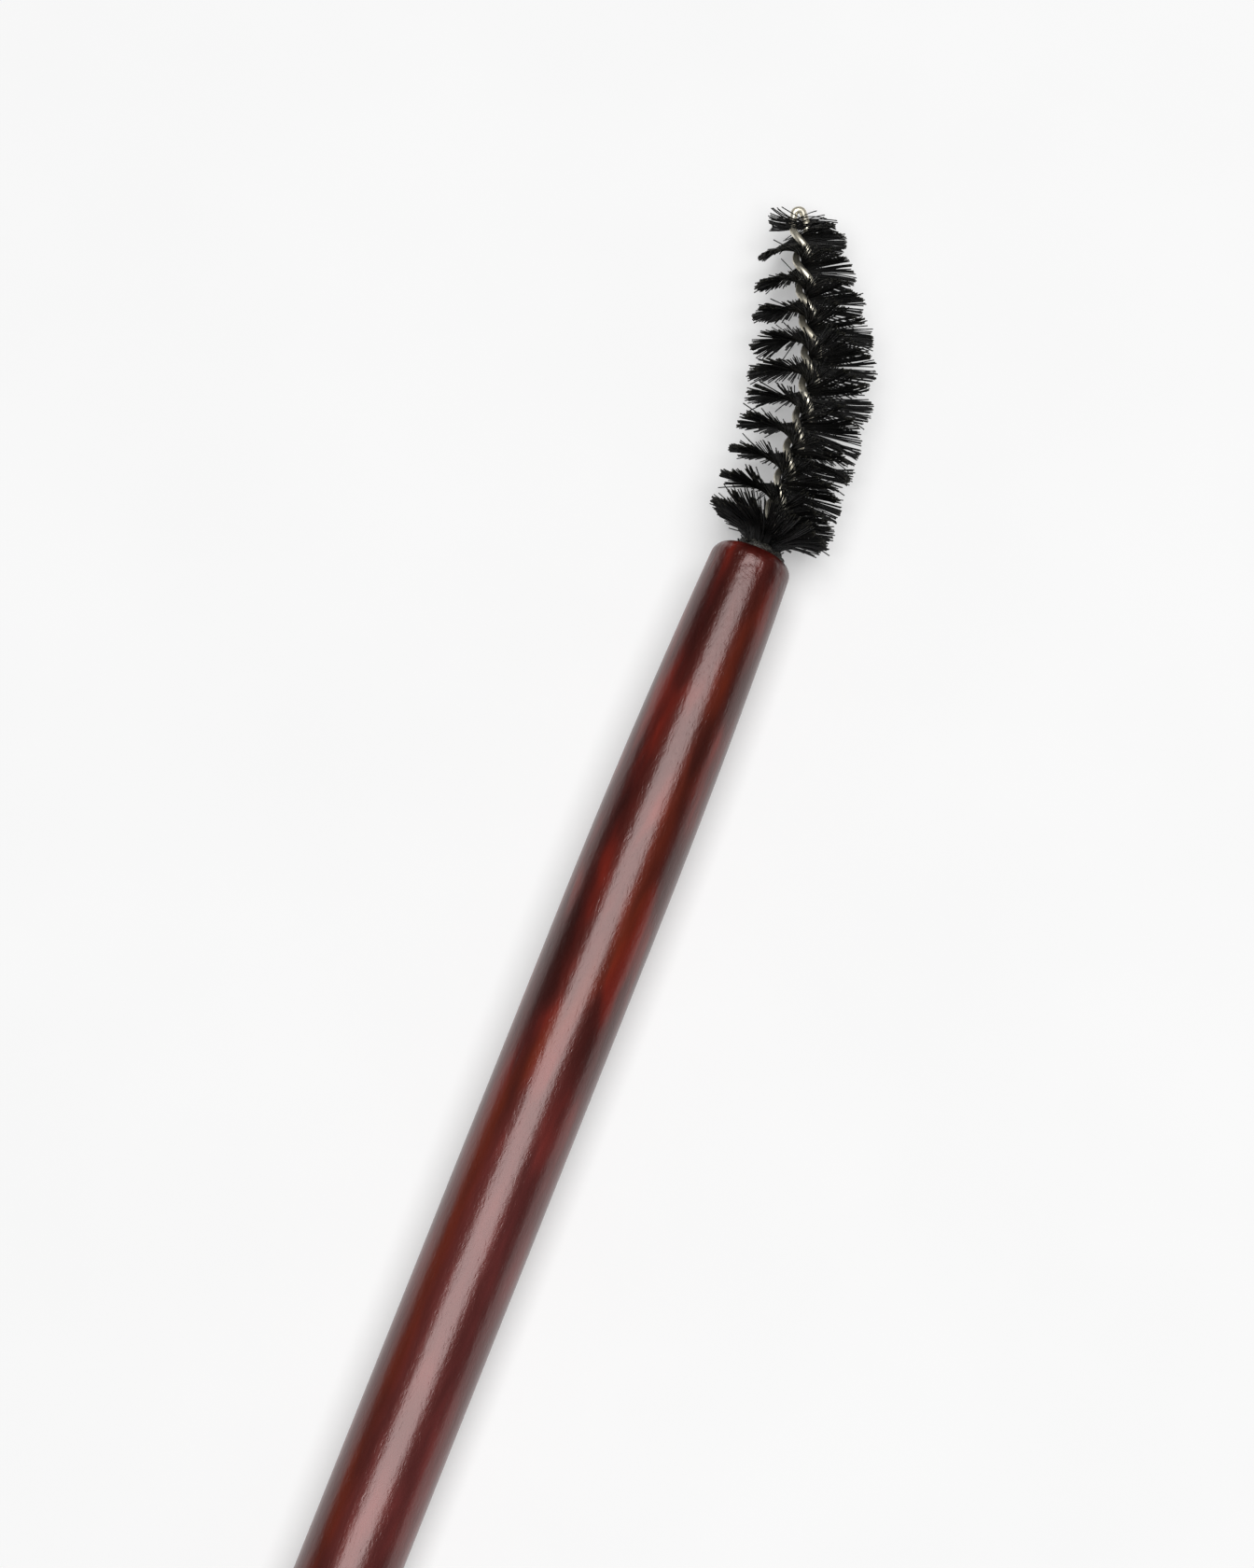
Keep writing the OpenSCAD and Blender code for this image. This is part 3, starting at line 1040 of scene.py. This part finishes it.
@dataclass
class Filaments:
    """The filaments that the wire clamps, and those that the mouth of the handle pushes over."""

    place: RestingPlace
    filament_d: float = 0.085
    count: int = 1420
    # Where in its own step along the wire a filament may sit
    step_range: Pair = (0.2, 0.8)
    # The mouth pushes the first filaments forwards, over this length of the head
    mouth_sweep: float = 20.0
    sweep_l: float = 3.5
    # Use has bent the filaments: the distance from the mouth, and the forward lean in degrees
    # there of the arms that point left and of those that point right
    leans: tuple[Triple, ...] = (
        (2.4, 0.0, 0.0), (4.8, 0.0, 2.0), (7.1, -2.0, 0.0), (9.4, -8.0, 0.0), (11.8, -7.0, 3.0),
        (14.1, -9.0, -1.0), (16.4, -8.0, -2.0), (18.7, -7.0, -5.0), (21.0, -11.0, -6.0),
        (23.4, -15.0, -7.0), (24.0, -12.0, -9.0), (24.5, 8.0, -12.0), (25.2, 17.0, -20.0),
        (25.8, 13.0, -26.0))
    # The arms that point straight up or straight down lean ahead
    up_lean: float = 5.0
    under_lean: float = 4.0
    # How much longer than the plain outline the arms that point left and right are
    trims: tuple[Triple, ...] = (
        (2.4, -0.1, -0.1), (7.1, -0.25, 0.0), (11.8, -0.36, 0.1), (15.0, -0.1, 0.1),
        (18.7, 0.12, 0.12), (23.6, 0.2, 0.18), (24.5, -0.55, -0.1))
    trim_scatter: float = 0.11
    # The last few lie nearly level, where the twist ends, and reach into the hairpin's eye
    last_count: int = 40
    last_spread: float = 27.0
    last_range: Pair = (-0.45, 0.4)
    # A lock is a few neighbours that stay together, each lock with its own lean. The rows are
    # looser on the right, and closed to firm tufts on the left.
    lock_size: int = 11
    lock_shift: int = 3
    lock_spread: float = 2.5
    right_looser: float = 0.25
    own_spread: float = 1.6
    stray: float = 0.06
    stray_share: float = 0.04
    stray_spread: float = 8.0
    # Filaments rooted inside the mouth: they pass its lip, at a share of lip_r from the wire,
    # and fall outwards to low_tip, or swing up from there the deeper they are rooted
    mouth_count: int = 150
    mouth_from: float = -1.2
    mouth_spread: float = 20.0
    lip_r: float = 1.1
    lip_shares: Pair = (0.5, 1.1)
    lip_s: float = 0.5
    lip_pull: Pair = (0.05, 0.3)
    low_tip: Pair = (4.1, 2.2)
    low_splay: float = 80.0
    tip_pull: float = 0.45
    tip_scatter: Pair = (0.1, 0.14)
    swings: Pair = (-0.25, 0.75)
    swing_l: float = 1.3
    swing_turn: float = 40.0
    # Stubs that the mouth crushed, set in the resin, which is lower further out
    stub_count: int = 60
    stub_l: float = 0.5
    stub_shares: Pair = (0.4, 1.3)
    stub_out: Pair = (0.6, 1.75)
    stub_foot: float = 0.75
    stub_fall: float = 0.3
    stub_rise: float = 0.6
    stub_scatter: float = 0.7
    sides: int = 4
    seed: int = 23
    finish: BlackNylon = field(default_factory=BlackNylon)

    # Shares of an arm's length at which an arm and a stub have a point
    SHARES = (0.0, 0.08, 0.22, 0.4, 0.58, 0.76, 0.9, 1.0)
    STUB_SHARES = (0.0, 0.3, 0.6)

    def lean_at(self, s: float, angle: float) -> float:
        """Works out how far an arm leans towards the tip of the head.

        Args:
            s: Distance of its root from the mouth.
            angle: Its angle from level right towards straight up.

        Returns:
            The forward lean in degrees.
        """
        near = max(0.0, 1 - (s - self.place.bristle_start) / self.sweep_l) ** 2
        places, left, right = zip(*self.leans)
        to_left, to_right = np.interp(s, places, left), np.interp(s, places, right)
        return (self.mouth_sweep * near + (to_left + to_right) / 2
                + (to_right - to_left) / 2 * math.cos(angle)
                + self.up_lean * max(0.0, math.sin(angle)) ** 2
                + self.under_lean * max(0.0, -math.sin(angle)))

    def reach_at(self, s: float, angle: float) -> float:
        """Works out how far from the wire an arm's tip is.

        Args:
            s: Distance of its root from the mouth.
            angle: Its angle from level right towards straight up.

        Returns:
            The reach in millimetres.
        """
        places, left, right = zip(*self.trims)
        to_left, to_right = np.interp(s, places, left), np.interp(s, places, right)
        return (self.place.outline_r(s) + to_left * max(0.0, -math.cos(angle))
                + to_right * max(0.0, math.cos(angle)))

    def arm(self, s: float, angle: float, side: Side, reach: float, ahead_by: float,
            round_by: float, layer: float) -> np.ndarray:
        """Draws one arm of a clamped filament, nearly straight.

        Args:
            s: Distance of its root from the mouth.
            angle: Angle of the filament, from level right towards straight up.
            side: Which of the two arms.
            reach: Distance of its tip from the wire.
            ahead_by: How far it leans towards the tip of the head, in degrees.
            round_by: How far it leans round the wire, in degrees.
            layer: Its place through the mat, from -1 to 1.

        Returns:
            Its points, from the root on.
        """
        route = self.place.route
        point, lean = route.at(s)
        out = side.value * route.across(lean, angle)
        turn = side.value * route.across(lean, angle + math.pi / 2)
        through = route.across(lean, route.twist_at(s) + math.pi / 2)
        depth = layer * (route.filament_t - self.filament_d) / 2
        return np.array([point + depth * through + reach * (
            f * out + f * f * math.tan(math.radians(ahead_by)) * route.ahead(lean)
            + f * f * math.tan(math.radians(round_by)) * turn) for f in self.SHARES])

    def mouth_arm(self, s: float, side: Side, aside: float, lip_r: float, tip: Pair,
                  splay: float) -> np.ndarray:
        """Draws one arm that is rooted inside the mouth, rises past its lip and springs out.

        Args:
            s: Distance of its root from the mouth, negative inside the handle.
            side: Which of the two arms.
            aside: How far it was pushed round the wire, in radians.
            lip_r: Distance from the wire at which it passes the lip.
            tip: Distance of its tip from the wire, and from the mouth.
            splay: The direction in which it ends, in degrees from straight ahead.

        Returns:
            Its points, from the root on.
        """
        route = self.place.route
        out = side.value * route.across(0.0, route.twist_at(s) + aside)

        def at(r: float, ahead: float) -> np.ndarray:
            """Point at a distance from the wire and from the mouth."""
            return np.array([route.offset, ahead, 0.0]) + r * out

        lip, end = at(lip_r, self.lip_s), at(*tip)
        reach = float(np.linalg.norm(end - lip))
        rising = at(lip_r + self.lip_pull[0] * reach, self.lip_s + self.lip_pull[1] * reach)
        falling = end - self.tip_pull * reach * (math.sin(math.radians(splay)) * out + np.array(
            [0.0, math.cos(math.radians(splay)), 0.0]))
        rows = [at(0.0, s)]
        for f in self.SHARES[1:]:
            t = (f - self.SHARES[1]) / (1 - self.SHARES[1])
            rows.append((1 - t) ** 3 * lip + 3 * (1 - t) ** 2 * t * rising
                        + 3 * (1 - t) * t * t * falling + t ** 3 * end)
        return np.array(rows)

    def clamped(self, chance: np.random.Generator) -> list[np.ndarray]:
        """Draws the filaments that the wire clamps in front of the mouth.

        Args:
            chance: The source of random numbers.

        Returns:
            For each its points, from tip to tip.
        """
        start, end = self.place.bristle_start, self.place.bristle_end
        locks = {side: chance.normal(0, self.lock_spread, (self.count, 2)) for side in Side}
        shifts = {Side.RIGHT: 0, Side.LEFT: self.lock_shift}
        lines = []
        for k in range(self.count):
            s = start + (end - start) * (k + chance.uniform(*self.step_range)) / self.count
            layer = chance.uniform(-1, 1)
            if k < self.count - self.last_count:
                angle = self.place.route.twist_at(s)
            else:
                s = end + chance.uniform(*self.last_range)
                angle = math.radians(chance.normal(0, self.last_spread))
            arms = []
            for side in Side:
                lock = locks[side][(k + shifts[side]) // self.lock_size]
                spread = (self.stray_spread if chance.random() < self.stray_share
                          else self.own_spread)
                arm_angle = angle if side is Side.RIGHT else angle + math.pi
                looseness = 1 + self.right_looser * math.cos(arm_angle)
                ahead_by, round_by = looseness * lock + chance.normal(0, spread, 2)
                reach = (self.reach_at(s, arm_angle)
                         + chance.uniform(-self.trim_scatter, self.trim_scatter))
                ahead_by += self.lean_at(s, arm_angle)
                arms.append(self.arm(s, angle, side, reach, ahead_by, round_by, layer))
            lines.append(np.vstack([arms[0][::-1], arms[1][1:]]))
        return lines

    def bent_over(self, chance: np.random.Generator) -> list[np.ndarray]:
        """Draws the filaments rooted inside the mouth.

        Args:
            chance: The source of random numbers.

        Returns:
            For each its points, from tip to tip.
        """
        start = self.place.bristle_start
        lines = []
        for k in range(self.mouth_count):
            s = self.mouth_from + (start - self.mouth_from) * (k + 0.5) / self.mouth_count
            inside = (start - s) / (start - self.mouth_from)
            arms = []
            for side in Side:
                swing = chance.uniform(*self.swings) * inside
                tip = (self.low_tip[0] - self.swing_l * swing
                       + chance.normal(0, self.tip_scatter[0]),
                       self.low_tip[1] + self.swing_l * swing
                       + chance.normal(0, self.tip_scatter[1]))
                aside = math.radians(chance.normal(0, self.mouth_spread))
                lip_r = self.lip_r * chance.uniform(*self.lip_shares)
                arms.append(self.mouth_arm(s, side, aside, lip_r, tip,
                                           self.low_splay - self.swing_turn * swing))
            lines.append(np.vstack([arms[0][::-1], arms[1][1:]]))
        return lines

    def stubs(self, chance: np.random.Generator) -> list[np.ndarray]:
        """Draws the crushed stubs that stand out of the resin round the foot of the wire.

        Args:
            chance: The source of random numbers.

        Returns:
            For each its points, from its foot on.
        """
        lines = []
        for _ in range(self.stub_count):
            angle, out = chance.uniform(0, 2 * math.pi), chance.uniform(*self.stub_out)
            foot = np.array([self.place.route.offset + out * math.cos(angle),
                             self.stub_foot - self.stub_fall * out, out * math.sin(angle)])
            way = chance.normal(0, self.stub_scatter, 3) + np.array(
                [math.cos(angle), self.stub_rise, math.sin(angle)])
            length = self.stub_l * chance.uniform(*self.stub_shares)
            tip = foot + way / np.linalg.norm(way) * length
            lines.append(np.linspace(foot, tip, len(self.STUB_SHARES)))
        return lines

    def build(self) -> bpy.types.Object:
        """Builds and dresses the filaments.

        Returns:
            All the filaments, as one piece.
        """
        chance = np.random.default_rng(self.seed)
        arms = np.array(self.SHARES)
        both = np.concatenate([arms[::-1], arms[1:]])
        whole = self.clamped(chance) + self.bent_over(chance)
        stubs = self.stubs(chance)
        shares = [both] * len(whole) + [np.array(self.STUB_SHARES)] * len(stubs)
        tubes = SweptTubes("filament_sweep", self.finish.build(), self.filament_d, self.sides,
                           stray=self.stray, seed=self.seed, floor=self.filament_d / 2)
        piece = tubes.sweep("filament_rows", whole + stubs, shares, self.place)
        finish_piece(piece, "bristles")
        return piece


@dataclass
class Studio:
    """The table, the overhead softbox, the dim room, and the camera above the brush."""

    place: RestingPlace
    table_size: float = 4.0
    softbox_size: float = 1.05
    softbox_at: Triple = (0.12, 0.05, 1.2)
    softbox_watts: float = 18.3
    room_level: float = 0.06
    # The photograph's scale, its size, and the place of the handle's mouth in it
    pixels_per_m: float = 15430.0
    picture: Pair = (1344.0, 1680.0)
    mouth_pixel: Pair = (809.0, 593.0)
    distance: float = 1.0
    nearest: float = 0.05
    sensor_mm: float = 36.0
    tilt: float = 15.5
    handle_slope: float = 0.402
    card: MattCard = field(default_factory=MattCard)

    def lay_table(self) -> None:
        """Lays the white card under the brush."""
        half = self.table_size / 2
        corners = np.array([(-half, -half, 0), (half, -half, 0), (half, half, 0),
                            (-half, half, 0)])
        table = mesh_object("table", corners, faces=[(0, 1, 2, 3)])
        table.data.materials.append(self.card.build())

    def light(self) -> None:
        """Hangs the softbox and dims the room."""
        lamp = bpy.data.lights.new("softbox", "AREA")
        lamp.shape = "SQUARE"
        lamp.size = self.softbox_size
        lamp.energy = self.softbox_watts
        softbox = bpy.data.objects.new("softbox", lamp)
        softbox.location = self.softbox_at
        bpy.context.scene.collection.objects.link(softbox)
        world = bpy.data.worlds.new("room")
        world.use_nodes = True
        background = world.node_tree.nodes["Background"]
        background.inputs["Color"].default_value = (1.0, 1.0, 1.0, 1.0)
        background.inputs["Strength"].default_value = self.room_level
        bpy.context.scene.world = world

    def set_camera(self) -> None:
        """Sets the camera nearly straight above the brush, at the photograph's scale."""
        tilt = math.radians(self.tilt)
        roll = math.atan(self.handle_slope * math.cos(tilt))
        turn = Matrix.Rotation(roll, 4, "Z") @ Matrix.Rotation(tilt, 4, "X")
        right, up, back = (turn.col[i].to_3d() for i in range(3))
        mouth = self.place.matrix() @ Vector((0.0, 0.0, 0.0))
        off_x = (self.picture[0] / 2 - self.mouth_pixel[0]) / self.pixels_per_m
        off_y = (self.mouth_pixel[1] - self.picture[1] / 2) / self.pixels_per_m
        centre = mouth + right * off_x + up * off_y
        data = bpy.data.cameras.new("camera")
        data.sensor_width = self.sensor_mm
        data.lens = self.sensor_mm * self.distance * self.pixels_per_m / self.picture[1]
        data.clip_start = self.nearest
        camera = bpy.data.objects.new("camera", data)
        camera.matrix_world = Matrix.Translation(centre + back * self.distance) @ turn
        bpy.context.scene.collection.objects.link(camera)
        bpy.context.scene.camera = camera

    def build(self) -> None:
        """Sets up everything round the brush."""
        self.lay_table()
        self.light()
        self.set_camera()


def main() -> None:
    """Builds the brush on the frame, piece by piece, and the studio round it."""
    logging.basicConfig(level=logging.INFO, format="%(name)s: %(message)s")
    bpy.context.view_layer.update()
    place = RestingPlace(WireRoute())
    steps: list[tuple[str, Callable[[], Any]]] = [
        ("handle", Handle(place).build),
        ("resin collar", ResinCollar(place).build),
        ("twisted wire", TwistedWire(place).build),
        ("filaments", Filaments(place).build),
        ("studio", Studio(place).build),
    ]
    for name, build in steps:
        build()
        LOG.info("built the %s", name)
    bpy.context.scene.view_settings.view_transform = "Standard"


if __name__ == "__main__":
    main()
